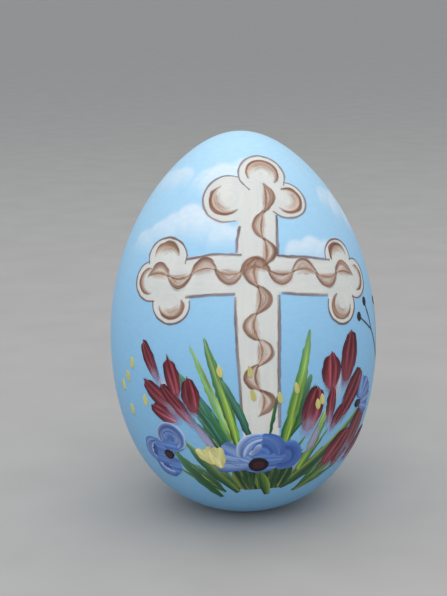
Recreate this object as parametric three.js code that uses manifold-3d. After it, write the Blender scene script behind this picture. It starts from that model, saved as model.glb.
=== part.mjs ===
// A painted wooden Easter egg: a turned lime-wood egg on a small flat foot, a sky-blue ground coat,
// and the films of paint laid on it: a budded cross, a meadow with flowers, and a berry twig.
// Millimetres, +Z up. The origin is the centre of the foot's flat face, and the cross faces -Y.
// A place on the egg is written [azimuth in degrees from the cross's axis, height above the foot].
import * as THREE from 'three';
import { mergeVertices } from 'three/addons/utils/BufferGeometryUtils.js';
import Module from 'manifold-3d';

const wasm = await Module();
wasm.setup();

// Driving dimensions.
const HEIGHT = 100;
const BREADTH = 70;
const FOOT_CUT = 1.1; // how much of the blunt end is turned away to make the flat foot
const BULGE = [0.09, 0.02, 0.12]; // how the outline departs from an ellipse, by powers of cos t
const COAT = 0.3; // primer and sky-blue paint
const COAT_EDGE = 0.5; // the coat ends this far above the foot, so the egg rests on bare wood
const FILM = 0.16; // thickness of one film of paint
const GAP = 0.05; // clearance between one layer and the next

// How finely the turned surfaces are faceted.
const TURNED_SEGMENTS = 36;
const TURNED_RINGS = 16;
const ARC_STEPS = 8;
const STROKE_STEPS = 4;
const ARM_SCROLL_STEPS = 8;
const SHAFT_SCROLL_STEPS = 18;
const DISC_SIDES = 12;
const REACH = 2.5; // how far a stroke's cutting prism stands above and below the egg's surface

const FULL_LENGTH = HEIGHT + FOOT_CUT;
const DEGREE = Math.PI / 180;

// ---- The turned outline ----

function bulge(cosine) {
  return 1 + BULGE[0] * cosine + BULGE[1] * cosine ** 2 + BULGE[2] * cosine ** 3;
}

function widest() {
  const steps = 400;
  let most = 0;
  for (let step = 1; step < steps; step += 1) {
    const t = (step / steps) * Math.PI;
    most = Math.max(most, Math.sin(t) * bulge(Math.cos(t)));
  }
  return most;
}

const ROUND = BREADTH / 2 / widest();

// t runs from 0 at the blunt end, which the foot cuts off, to PI at the crown.
function outline(t) {
  const cosine = Math.cos(t);
  const height = (FULL_LENGTH / 2) * (1 - cosine) - FOOT_CUT;
  return new THREE.Vector2(ROUND * Math.sin(t) * bulge(cosine), height);
}

function outlineAt(height) {
  return outline(Math.acos(1 - (2 * (height + FOOT_CUT)) / FULL_LENGTH));
}

// The outline's outward direction, as (radial, upward).
function outward(height) {
  const nudge = 0.05;
  const along = outlineAt(height + nudge).sub(outlineAt(height - nudge));
  return new THREE.Vector2(along.y, -along.x).normalize();
}

function onEgg([azimuth, height]) {
  const radius = outlineAt(height).x;
  const angle = azimuth * DEGREE;
  return new THREE.Vector3(radius * Math.sin(angle), -radius * Math.cos(angle), height);
}

function normalAt(point) {
  const [radial, upward] = outward(point.z).toArray();
  const angle = Math.atan2(point.x, -point.y);
  return new THREE.Vector3(radial * Math.sin(angle), -radial * Math.cos(angle), upward);
}

function placeOf(point) {
  return [Math.atan2(point.x, -point.y) / DEGREE, point.z];
}

// The place that lies so many millimetres to the right of another, and so many above it.
function beside(place, right, up) {
  const point = onEgg(place);
  const normal = normalAt(point);
  const rightward = new THREE.Vector3(0, 0, 1).cross(normal).normalize();
  const upward = normal.clone().cross(rightward);
  point.addScaledVector(rightward, right).addScaledVector(upward, up);
  for (let pass = 0; pass < 3; pass += 1) {
    const away = Math.hypot(point.x, point.y) - outlineAt(point.z).x;
    point.addScaledVector(normalAt(point), -away * outward(point.z).x);
  }
  return placeOf(point);
}

// ---- Solids ----

function solidOf(geometry) {
  geometry.deleteAttribute('normal');
  geometry.deleteAttribute('uv');
  const merged = mergeVertices(geometry, 1e-4);
  const corners = merged.index.array;
  const kept = [];
  for (let i = 0; i < corners.length; i += 3) {
    const [a, b, c] = corners.slice(i, i + 3);
    if (a !== b && b !== c && c !== a) {
      kept.push(a, b, c);
    }
  }
  const vertProperties = new Float32Array(merged.attributes.position.array);
  const mesh = new wasm.Mesh({ numProp: 3, vertProperties, triVerts: new Uint32Array(kept) });
  return new wasm.Manifold(mesh);
}

// The whole egg, grown by an offset all over, before its foot is cut.
function turned(offset) {
  const profile = [];
  for (let ring = 0; ring <= TURNED_RINGS; ring += 1) {
    const t = (ring / TURNED_RINGS) * Math.PI;
    const point = outline(t);
    if (ring === 0 || ring === TURNED_RINGS) {
      profile.push(new THREE.Vector2(0, point.y - Math.cos(t) * offset));
    } else {
      profile.push(point.add(outward(point.y).multiplyScalar(offset)));
    }
  }
  const lathe = new THREE.LatheGeometry(profile, TURNED_SEGMENTS);
  lathe.rotateX(Math.PI / 2);
  return solidOf(lathe);
}

function above(level) {
  const block = new THREE.BoxGeometry(2 * BREADTH, 2 * BREADTH, 2 * HEIGHT);
  block.translate(0, 0, HEIGHT + level);
  return solidOf(block);
}

// The space that paint of one layer fills. Layer 1 lies on the sky coat.
function layerBand(layer) {
  const inner = GAP + (layer - 1) * (FILM + GAP);
  return turned(inner + FILM).subtract(turned(inner));
}

const bands = [1, 2, 3, 4].map(layerBand);

// A prism through the egg's surface along a brush stroke, given as [azimuth, height, width] rows.
function strokePrism(rows) {
  const points = rows.map(onEgg);
  const count = rows.length - 1;
  const corners = [];
  const faces = [];
  points.forEach((point, i) => {
    const along = points[Math.min(i + 1, count)].clone().sub(points[Math.max(i - 1, 0)]);
    const normal = normalAt(point);
    const side = normal.clone().cross(along).normalize().multiplyScalar(rows[i][2] / 2);
    normal.multiplyScalar(REACH);
    for (const [across, up] of [[1, 1], [-1, 1], [-1, -1], [1, -1]]) {
      const corner = point.clone().addScaledVector(side, across).addScaledVector(normal, up);
      corners.push(...corner.toArray());
    }
  });
  for (let i = 0; i < count; i += 1) {
    for (let k = 0; k < 4; k += 1) {
      const near = 4 * i + k;
      const next = 4 * i + ((k + 1) % 4);
      faces.push(near, next + 4, near + 4, near, next, next + 4);
    }
  }
  const last = 4 * count;
  faces.push(2, 1, 0, 3, 2, 0, last, last + 1, last + 2, last, last + 2, last + 3);
  const prism = new THREE.BufferGeometry();
  prism.setAttribute('position', new THREE.Float32BufferAttribute(corners, 3));
  prism.setIndex(faces);
  return solidOf(prism);
}

// An oval prism through the egg's surface, given as [azimuth, height, half breadth, half height].
function discPrism([azimuth, height, broad, tall]) {
  const centre = onEgg([azimuth, height]);
  const normal = normalAt(centre);
  const right = new THREE.Vector3(0, 0, 1).cross(normal).normalize();
  const up = normal.clone().cross(right);
  const disc = new THREE.CylinderGeometry(1, 1, 2 * REACH, DISC_SIDES);
  disc.rotateX(Math.PI / 2);
  disc.scale(broad, tall, 1);
  disc.applyMatrix4(new THREE.Matrix4().makeBasis(right, up, normal));
  disc.translate(centre.x, centre.y, centre.z);
  return solidOf(disc);
}

// ---- Strokes, worked out from a few dimensions ----

const ARC_ENDS = 0.6; // an arc's width at its ends, as a share of its width in the middle
const BLADE_SWELL = [0.08, 0.84]; // the part of a half wave by which a blade's width swells
const PETAL_SWELL = [0.22, 0.88];

function rowsAlong(steps, rowAt) {
  return Array.from({ length: steps + 1 }, (_, i) => rowAt(i / steps));
}

// The row of a band at one of its azimuths (column 0) or heights (column 1).
function bandAt(band, column, value) {
  let i = 1;
  while (i < band.length - 1 && band[i][column] < value) {
    i += 1;
  }
  const share = (value - band[i - 1][column]) / (band[i][column] - band[i - 1][column]);
  return band[i - 1].map((low, k) => THREE.MathUtils.lerp(low, band[i][k], share));
}

// Part of an oval's edge, or of a smaller oval inside it. 0 degrees is its right and 90 its top.
function arc([azimuth, height, broad, tall], size, from, to, width) {
  return rowsAlong(ARC_STEPS, (share) => {
    const angle = THREE.MathUtils.lerp(from, to, share) * DEGREE;
    const [right, up] = [broad * size * Math.cos(angle), tall * size * Math.sin(angle)];
    const swell = ARC_ENDS + (1 - ARC_ENDS) * Math.sin(Math.PI * share);
    return [...beside([azimuth, height], right, up), width * swell];
  });
}

// A straight stroke between two places, whose width swells by part of a half wave.
function swelling([fromAzimuth, fromHeight], [toAzimuth, toHeight], width, [start, end]) {
  return rowsAlong(STROKE_STEPS, (share) => [
    THREE.MathUtils.lerp(fromAzimuth, toAzimuth, share),
    THREE.MathUtils.lerp(fromHeight, toHeight, share),
    width * Math.sin(Math.PI * THREE.MathUtils.lerp(start, end, share)),
  ]);
}

function blade(tip, root, width) {
  return swelling(tip, root, width, BLADE_SWELL);
}

function petal(tip, base, width) {
  return swelling(tip, base, width, PETAL_SWELL);
}

// ---- Named sub-parts ----

const PAINTS = {
  cream: [0xe6e3d8, 0.7],
  umber: [0x8c6a5c, 0.65],
  sienna: [0xa8653f, 0.65],
  grass: [0x6d9a2c, 0.6],
  forest: [0x1f4a34, 0.6],
  crimson: [0x7c1626, 0.55],
  blue: [0x5677bd, 0.55],
  ink: [0x1c0f16, 0.5],
  yellow: [0xd9cf6a, 0.6],
};

const egg = new THREE.Group();

function addPart(name, solid, colour, roughness) {
  const { vertProperties, triVerts } = solid.getMesh();
  const geometry = new THREE.BufferGeometry();
  geometry.setAttribute('position', new THREE.Float32BufferAttribute(vertProperties, 3));
  geometry.setIndex(Array.from(triVerts));
  geometry.computeVertexNormals();
  const material = new THREE.MeshStandardMaterial({ color: colour, roughness, metalness: 0 });
  const mesh = new THREE.Mesh(geometry, material);
  mesh.name = name;
  egg.add(mesh);
}

function addFilm(name, paint, layer, { strokes = [], discs = [] }) {
  const prisms = [...strokes.map(strokePrism), ...discs.map(discPrism)];
  const [colour, roughness] = PAINTS[paint];
  addPart(name, wasm.Manifold.union(prisms).intersect(bands[layer - 1]), colour, roughness);
}

function addBody() {
  const core = turned(-COAT - GAP).intersect(above(0));
  addPart('egg_core', core, 0xc9a877, 0.8);
  const coat = turned(0).subtract(turned(-COAT)).intersect(above(COAT_EDGE));
  addPart('sky_coat', coat, 0x9fd0ee, 0.5);
}

// The cross: a cream field whose three upper ends each open into three oval buds,
// given as [azimuth, height, half breadth, half height].
const BUDS = {
  top: [12, 91, 6, 6],
  top_left: [-14, 86, 6.5, 6.5],
  top_right: [24, 85, 5.5, 5],
  left_upper: [-44, 72, 6, 5],
  left_outer: [-50, 66, 6, 5],
  left_lower: [-38, 61.5, 5.5, 5],
  right_upper: [46, 70.5, 5, 4.5],
  right_outer: [54, 64.5, 5.5, 5],
  right_lower: [41, 59.5, 5, 5],
};
const SHAFT = [[1, 28, 9], [0, 46, 10], [0, 62, 11], [2, 77, 10], [8, 90, 7]];
const ARMS = [[-45, 66.5, 9], [-18, 69, 10], [6, 69, 9], [25, 67.5, 9.5], [50, 65, 8.5]];

const LINE = 0.8; // a liner's width
const SIDES = { left: -1, right: 1, base: -1, top: 1 };

function shaftEdge(side, from, to) {
  return rowsAlong(STROKE_STEPS, (share) => {
    const [azimuth, height, width] = bandAt(SHAFT, 1, THREE.MathUtils.lerp(from, to, share));
    return [...beside([azimuth, height], (SIDES[side] * width) / 2, 0), LINE];
  });
}

function armEdge(side, from, to) {
  return rowsAlong(STROKE_STEPS, (share) => {
    const [azimuth, height, width] = bandAt(ARMS, 0, THREE.MathUtils.lerp(from, to, share));
    return [...beside([azimuth, height], 0, (SIDES[side] * width) / 2), LINE];
  });
}

// How far round each bud its outline runs, in degrees, for the three ends of the cross.
const BUD_ARCS = {
  top: { top: [225, -36], top_left: [70, 290], top_right: [80, -150] },
  left: { left_upper: [207, -10], left_outer: [110, 290], left_lower: [15, -182] },
  right: { right_upper: [175, -22], right_outer: [92, -125], right_lower: [155, 376] },
};

function addCross() {
  addFilm('cross_field', 'cream', 1, { strokes: [SHAFT, ARMS], discs: Object.values(BUDS) });
  const edges = {
    upper_left: shaftEdge('left', 75, 79),
    upper_right: shaftEdge('right', 74, 80),
    left_top: armEdge('top', -31, -10),
    left_base: armEdge('base', -27, -12),
    right_top: armEdge('top', 14, 36),
    right_base: armEdge('base', 11, 32),
    lower_left: shaftEdge('left', 33, 63),
    lower_right: shaftEdge('right', 33, 63),
  };
  for (const [name, rows] of Object.entries(edges)) {
    addFilm(`outline_${name}`, 'umber', 2, { strokes: [rows] });
  }
  for (const [end, arcs] of Object.entries(BUD_ARCS)) {
    const strokes = Object.entries(arcs).map(([bud, [from, to]]) => arc(BUDS[bud], 1, from, to, LINE));
    addFilm(`outline_${end}_buds`, 'umber', 2, { strokes });
  }
}

// The scrollwork is one wave along the arms, with a crest at the crossing, and one down the shaft.
const ARM_WAVE = { pitch: 23, swing: 1.9, lift: 0.8 }; // degrees, then millimetres
const SHAFT_WAVE = { pitch: 12.5, swing: 4.5, left: 69.5 }; // millimetres, degrees, millimetres
const SCROLL = 1.9; // a scroll's width

function armScroll(from, to) {
  return rowsAlong(ARM_SCROLL_STEPS, (share) => {
    const azimuth = THREE.MathUtils.lerp(from, to, share);
    const wave = Math.cos((2 * Math.PI * azimuth) / ARM_WAVE.pitch);
    const height = bandAt(ARMS, 0, azimuth)[1] + ARM_WAVE.lift + ARM_WAVE.swing * wave;
    return [azimuth, height, SCROLL];
  });
}

function shaftScroll(from, to) {
  return rowsAlong(SHAFT_SCROLL_STEPS, (share) => {
    const height = THREE.MathUtils.lerp(from, to, share);
    const wave = Math.cos((2 * Math.PI * (SHAFT_WAVE.left - height)) / SHAFT_WAVE.pitch);
    return [bandAt(SHAFT, 1, height)[0] - SHAFT_WAVE.swing * wave, height, SCROLL];
  });
}

function addScrolls() {
  addFilm('scroll_shaft', 'sienna', 2, {
    strokes: [
      [[2, 84, 2], [0, 82, 3], [8, 78, 2.4], [-2, 73, 2]],
      shaftScroll(73, 32),
    ],
  });
  addFilm('scroll_left', 'sienna', 2, { strokes: [armScroll(-9, -55)] });
  addFilm('scroll_right', 'sienna', 2, { strokes: [armScroll(9, 55)] });
}

// A crescent shades each bud, inside its outline, dark on its outer side.
const CRESCENT_SIZE = 0.6; // as a share of its bud
const CRESCENT_WIDTH = 1.4;
const CRESCENTS = {
  top: [195, -50],
  top_left: [-50, -240],
  top_right: [100, -145],
  left_upper: [185, 15],
  left_lower: [25, -165],
  right_upper: [185, 0],
  right_lower: [-10, -245],
};

function addCrescents() {
  for (const [bud, [from, to]] of Object.entries(CRESCENTS)) {
    const strokes = [arc(BUDS[bud], CRESCENT_SIZE, from, to, CRESCENT_WIDTH)];
    addFilm(`${bud}_bud_crescent`, 'sienna', 2, { strokes });
  }
}

// The meadow, as [tip, root, width] of each blade, from one layer to the next as they cross.
const GRASS = {
  blade_left_pale: ['grass', 3, [[-28, 52], [-15, 34], 1.8]],
  blade_left_tall: ['grass', 2, [[-23, 54], [-12, 31], 2.6]],
  leaf_left_teal: ['forest', 1, [[-34, 45], [-15, 27], 3]],
  blade_cross_left: ['forest', 3, [[-15, 44], [-4, 31], 1.6]],
  blade_cross_right: ['forest', 3, [[8, 41], [4, 31], 1.2]],
  blade_right_tall: ['grass', 2, [[22, 55], [13, 31], 2.6]],
  blade_right_low: ['grass', 1, [[31, 34], [20, 18], 2.2]],
  leaf_right_dark: ['forest', 2, [[51, 30], [13, 13], 3]],
  leaf_right_olive: ['grass', 1, [[46, 22], [21, 11], 2]],
  leaf_low_left: ['forest', 2, [[-40, 23], [-20, 10], 2.6]],
  leaf_low_middle: ['forest', 2, [[-33, 26], [-9, 12], 2.6]],
};

function addGrass() {
  for (const [name, [paint, layer, [tip, root, width]]] of Object.entries(GRASS)) {
    addFilm(name, paint, layer, { strokes: [blade(tip, root, width)] });
  }
  addFilm('tuft_centre', 'forest', 1, {
    strokes: [
      [[-7, 19, 2.4], [15, 19, 2.4]],
      blade([0, 21], [5, 11], 3),
      blade([-4, 20], [-2, 12], 3),
      blade([8, 20], [7, 12], 3),
    ],
  });
}

// Red flowers, as [tip, base, width] of each petal. A flower's petals run together at their bases.
const LUPINS = {
  lupin_left: [
    [[-51, 50], [-37, 38], 3],
    [[-38, 48], [-32, 34], 3.4],
    [[-50, 41], [-31, 33], 4],
    [[-41, 41], [-27, 32], 3.2],
    [[-28, 43], [-26, 31], 3.6],
    [[-47, 35], [-28, 31], 3.2],
  ],
  lupin_right: [
    [[45, 52], [35, 33], 4.6],
    [[32, 48], [33, 31], 4.6],
    [[25, 40], [27, 29], 4.6],
    [[50, 41], [35, 30], 3.6],
    [[38, 34], [24, 29], 3],
  ],
  lupin_low_right: [
    [[56, 28], [45, 17], 4.6],
    [[44, 25], [37, 17], 4.6],
    [[52, 20], [36, 17], 3],
  ],
};

// Blue flowers, as ovals, and the dark eye of each.
const ANEMONES = {
  anemone_left: [[-41, 27, 4, 4], [-51, 22, 4.5, 4.5], [-47, 17, 3.5, 3.5], [-43, 23, 3.5, 3]],
  anemone_centre: [[-12, 22, 4, 3], [1, 26.5, 5, 4], [13, 23, 4.5, 4], [0, 22, 4, 3]],
  anemone_right: [[58, 38, 2.5, 4], [65, 33, 4, 2.5], [66, 30, 3, 2], [58, 33, 4.5, 2.5]],
};
const EYES = {
  eye_left: [-43, 22, 1.5, 1.5],
  eye_centre: [0, 21.5, 2.5, 2],
  eye_right: [51, 32.5, 1, 1.5],
};
const BLOSSOMS = {
  blossom_left: [3, [[-28, 27], [-22, 23], 3]],
  blossom_low: [4, [[-24, 23], [-17, 19], 3]],
};
const DAB = [0.7, 1.2]; // half breadth, half height
const YELLOW_DABS = [[-59, 45], [-63, 41], [-68, 38], [-52, 36], [-63, 32], [-16, 46]];

function addFlowers() {
  for (const [name, petals] of Object.entries(LUPINS)) {
    const strokes = petals.map(([tip, base, width]) => petal(tip, base, width));
    addFilm(name, 'crimson', 3, { strokes });
  }
  for (const [name, discs] of Object.entries(ANEMONES)) {
    addFilm(name, 'blue', 3, { discs });
  }
  for (const [name, disc] of Object.entries(EYES)) {
    addFilm(name, 'ink', 4, { discs: [disc] });
  }
  for (const [name, [layer, [tip, base, width]]] of Object.entries(BLOSSOMS)) {
    addFilm(name, 'yellow', layer, { strokes: [petal(tip, base, width)] });
  }
  YELLOW_DABS.forEach((place, i) => {
    addFilm(`yellow_dab_${i + 1}`, 'yellow', 4, { discs: [[...place, ...DAB]] });
  });
}

// Round the right-hand side and at the back: a twig of black berries and a small bouquet.
const BERRIES = [[59, 58], [52, 55], [76, 56]];
const TWIG_FORKS = [[67, 48], [64, 50], [73, 43]];
const TWIG_FOOT = [80, 36];
const TWIG = 0.7;
const BERRY = [1, 1.2]; // half breadth, half height

function addFarSide() {
  const twigs = BERRIES.map((berry, i) => [berry, TWIG_FORKS[i], TWIG_FOOT].map((at) => [...at, TWIG]));
  const berries = BERRIES.map((berry) => [...berry, ...BERRY]);
  addFilm('berry_twig', 'ink', 1, { strokes: twigs, discs: berries });
  addFilm('back_grass', 'grass', 1, {
    strokes: [
      blade([158, 46], [180, 15], 2.6),
      blade([181, 50], [180, 15], 2.6),
      blade([204, 44], [180, 15], 2.6),
      blade([150, 27], [182, 14], 2.6),
      blade([211, 28], [178, 14], 2.6),
    ],
  });
  addFilm('back_lupin', 'crimson', 2, {
    strokes: [
      petal([168, 49], [172, 35], 3),
      petal([161, 43], [173, 35], 3),
      petal([177, 44], [172, 35], 3),
    ],
  });
  addFilm('back_anemone', 'blue', 2, {
    discs: [[180, 24, 4, 4], [188, 21, 4, 4], [172, 21, 4, 4], [180, 17, 4, 4]],
  });
  addFilm('back_eye', 'ink', 3, { discs: [[180, 21, 1.7, 1.5]] });
}

addBody();
addCross();
addScrolls();
addCrescents();
addGrass();
addFlowers();
addFarSide();

export default egg;
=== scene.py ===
# The looks of a painted wooden Easter egg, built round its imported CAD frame. Blender works in metres; the
# paint is laid out in millimetres, on the egg's own surface: [azimuth in degrees, height, width].
import itertools
import math

import bpy
import numpy as np
from mathutils import Matrix, Vector


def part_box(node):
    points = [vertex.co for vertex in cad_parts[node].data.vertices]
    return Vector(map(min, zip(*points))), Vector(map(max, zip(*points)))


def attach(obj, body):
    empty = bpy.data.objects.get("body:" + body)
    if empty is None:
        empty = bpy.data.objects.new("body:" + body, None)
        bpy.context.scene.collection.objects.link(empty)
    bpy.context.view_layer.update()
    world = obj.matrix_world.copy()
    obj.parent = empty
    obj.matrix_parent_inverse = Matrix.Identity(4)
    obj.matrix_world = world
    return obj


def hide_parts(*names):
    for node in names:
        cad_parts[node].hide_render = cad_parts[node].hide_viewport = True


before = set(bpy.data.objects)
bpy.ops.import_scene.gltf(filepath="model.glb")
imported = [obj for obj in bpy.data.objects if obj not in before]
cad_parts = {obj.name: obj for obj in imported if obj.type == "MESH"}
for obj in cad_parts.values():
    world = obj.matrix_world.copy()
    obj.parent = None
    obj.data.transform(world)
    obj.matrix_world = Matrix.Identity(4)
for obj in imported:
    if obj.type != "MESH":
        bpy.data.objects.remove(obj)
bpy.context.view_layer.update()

MM = 0.001

# ---- The turned outline ----

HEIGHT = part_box("sky_coat")[1][2] / MM
BREADTH = 70.0
FOOT_CUT = 1.1  # what the flat foot takes off the outline's lower end
BULGE = (0.09, 0.02, 0.12)
COAT = 0.3
COAT_EDGE = 0.5
CORE_DEPTH = 0.32
FULL_LENGTH = HEIGHT + FOOT_CUT


def bulge(cosine):
    return 1 + BULGE[0] * cosine + BULGE[1] * cosine**2 + BULGE[2] * cosine**3


def widest():
    t = np.linspace(0, math.pi, 4001)
    return np.max(np.sin(t) * bulge(np.cos(t)))


ROUND = BREADTH / 2 / widest()


def radius_at(height):
    cosine = np.clip(1 - 2 * (height + FOOT_CUT) / FULL_LENGTH, -1, 1)
    return ROUND * np.sqrt(1 - cosine**2) * bulge(cosine)


def outward(height):
    """The outline's outward direction at a height: its radial and its upward share."""
    nudge = 0.02
    low = np.clip(height - nudge, -FOOT_CUT, HEIGHT)
    high = np.clip(height + nudge, -FOOT_CUT, HEIGHT)
    rise = high - low
    growth = radius_at(high) - radius_at(low)
    length = np.hypot(rise, growth)
    return rise / length, -growth / length


def on_egg(azimuth, height, proud=0.0):
    azimuth, height = np.broadcast_arrays(np.asarray(azimuth, float), np.asarray(height, float))
    radial, upward = outward(height)
    radius = radius_at(height) + proud * radial
    angle = np.radians(azimuth)
    across = [radius * np.sin(angle), -radius * np.cos(angle)]
    return np.stack(across + [height + proud * upward], axis=-1)


def normals(points):
    radial, upward = outward(points[..., 2])
    angle = np.arctan2(points[..., 0], -points[..., 1])
    return np.stack([radial * np.sin(angle), -radial * np.cos(angle), upward], axis=-1)


def snap(points):
    """Moves points near the egg's surface onto it."""
    for _ in range(3):
        away = np.hypot(points[..., 0], points[..., 1]) - radius_at(points[..., 2])
        radial, _ = outward(points[..., 2])
        points = points - normals(points) * (away * radial)[..., None]
    return points


def axes_at(azimuth, height):
    """A place on the egg, and its rightward and upward directions along the surface."""
    centre = on_egg(azimuth, height)
    normal = normals(centre)
    up = np.array([0, 0, 1.0]) - normal * normal[2]
    up /= np.linalg.norm(up)
    return centre, np.cross(up, normal), up


# ---- Noise ----


def lattice(i, j, seed):
    mixed = (i * 374761393 + j * 668265263 + seed * 974634777) & 0xFFFFFFFF
    mixed = ((mixed ^ (mixed >> 13)) * 1274126177) & 0xFFFFFFFF
    return ((mixed ^ (mixed >> 16)) & 0xFFFF) / 65535.0


def noise(x, y, seed):
    """Smooth noise from 0 to 1 on the unit lattice."""
    x, y = np.broadcast_arrays(np.asarray(x, float), np.asarray(y, float))
    i = np.floor(x).astype(np.int64)
    j = np.floor(y).astype(np.int64)
    u = smoothstep(x - i)
    v = smoothstep(y - j)
    low = lattice(i, j, seed) * (1 - u) + lattice(i + 1, j, seed) * u
    high = lattice(i, j + 1, seed) * (1 - u) + lattice(i + 1, j + 1, seed) * u
    return low * (1 - v) + high * v


def smoothstep(share):
    share = np.clip(share, 0, 1)
    return share * share * (3 - 2 * share)


def bristles(along, across, seed):
    """The marks of a brush's hairs, in millimetres along and across the stroke."""
    coarse = noise(along / 9, across / 0.55, seed)
    fine = noise(along / 5, across / 0.24, seed + 101)
    return 0.55 * coarse + 0.45 * fine


# ---- Films of paint ----

LAYER = 0.028  # one layer of paint, in millimetres
SKIRT = -0.06  # how deep a film's edges go, under the egg's surface
STEP_ALONG = 0.3
STEP_ACROSS = 0.17
UV_SCALE = 0.01


def linear(colour):
    share = np.clip(np.asarray(colour, float) / 255, 0, 1)
    return np.where(share <= 0.04045, share / 12.92, ((share + 0.055) / 1.055) ** 2.4)


class Film:
    """Gathers the brush strokes of one named piece, and makes them into a mesh."""

    def __init__(self):
        self.points, self.faces, self.paint, self.cover, self.marks = [], [], [], [], []
        self.count = 0

    def add(self, points, faces, paint, cover, marks):
        self.points.append(points.reshape(-1, 3))
        self.faces.append(faces + self.count)
        self.paint.append(paint.reshape(-1, 3))
        self.cover.append(cover.reshape(-1))
        self.marks.append(marks.reshape(-1, 2))
        self.count += self.points[-1].shape[0]

    def piece(self, name, material, nodes):
        mesh = bpy.data.meshes.new(name)
        points = np.concatenate(self.points) * MM
        mesh.from_pydata(points.tolist(), [], np.concatenate(self.faces).tolist())
        paint = mesh.attributes.new("paint", "FLOAT_COLOR", "POINT")
        colours = np.ones((len(points), 4))
        colours[:, :3] = linear(np.concatenate(self.paint))
        paint.data.foreach_set("color", colours.ravel())
        cover = mesh.attributes.new("cover", "FLOAT", "POINT")
        cover.data.foreach_set("value", np.concatenate(self.cover))
        corners = np.empty(len(mesh.loops), np.int32)
        mesh.loops.foreach_get("vertex_index", corners)
        marks = mesh.uv_layers.new(name="marks")
        marks.data.foreach_set("uv", (np.concatenate(self.marks)[corners] * UV_SCALE).ravel())
        mesh.polygons.foreach_set("use_smooth", np.ones(len(mesh.polygons), bool))
        mesh.materials.append(material)
        mesh.validate()
        made = bpy.data.objects.new(name, mesh)
        bpy.context.collection.objects.link(made)
        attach(made, "root")
        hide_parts(*nodes)
        return made


def grid_faces(rows, columns):
    index = np.arange(rows * columns).reshape(rows, columns)
    corners = [index[:-1, :-1], index[:-1, 1:], index[1:, 1:], index[1:, :-1]]
    return np.stack(corners, axis=-1).reshape(-1, 4)


def spline(rows):
    """A smooth row of points and widths, a step apart, through the given rows."""
    rows = np.asarray(rows, float)
    knots = np.column_stack([on_egg(rows[:, 0], rows[:, 1]), rows[:, 2]])
    lengths = np.linalg.norm(np.diff(knots[:, :3], axis=0), axis=1)
    at = np.concatenate([[0], np.cumsum(lengths)])
    slopes = np.gradient(knots, at, axis=0)
    places = np.linspace(0, at[-1], max(6, int(at[-1] / STEP_ALONG) + 1))
    span = np.clip(np.searchsorted(at, places, side="right") - 1, 0, len(at) - 2)
    size = (at[span + 1] - at[span])[:, None]
    t = (places - at[span])[:, None] / size
    bend = (2 * t**3 - 3 * t**2 + 1) * knots[span] + (t**3 - 2 * t**2 + t) * size * slopes[span]
    bend += (3 * t**2 - 2 * t**3) * knots[span + 1] + (t**3 - t**2) * size * slopes[span + 1]
    return snap(bend[:, :3]), np.maximum(bend[:, 3], 0.05), places


def paint_across(stops, place):
    """Colour and cover across a brush's width, from stops of (place, colour, cover)."""
    at = [stop[0] for stop in stops]
    channels = [np.interp(place, at, [stop[1][k] for stop in stops]) for k in range(3)]
    return np.stack(channels, axis=-1), np.interp(place, at, [stop[2] for stop in stops])


def flat(colour, cover=1.0):
    return [(-1, colour, cover), (1, colour, cover)]


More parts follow.
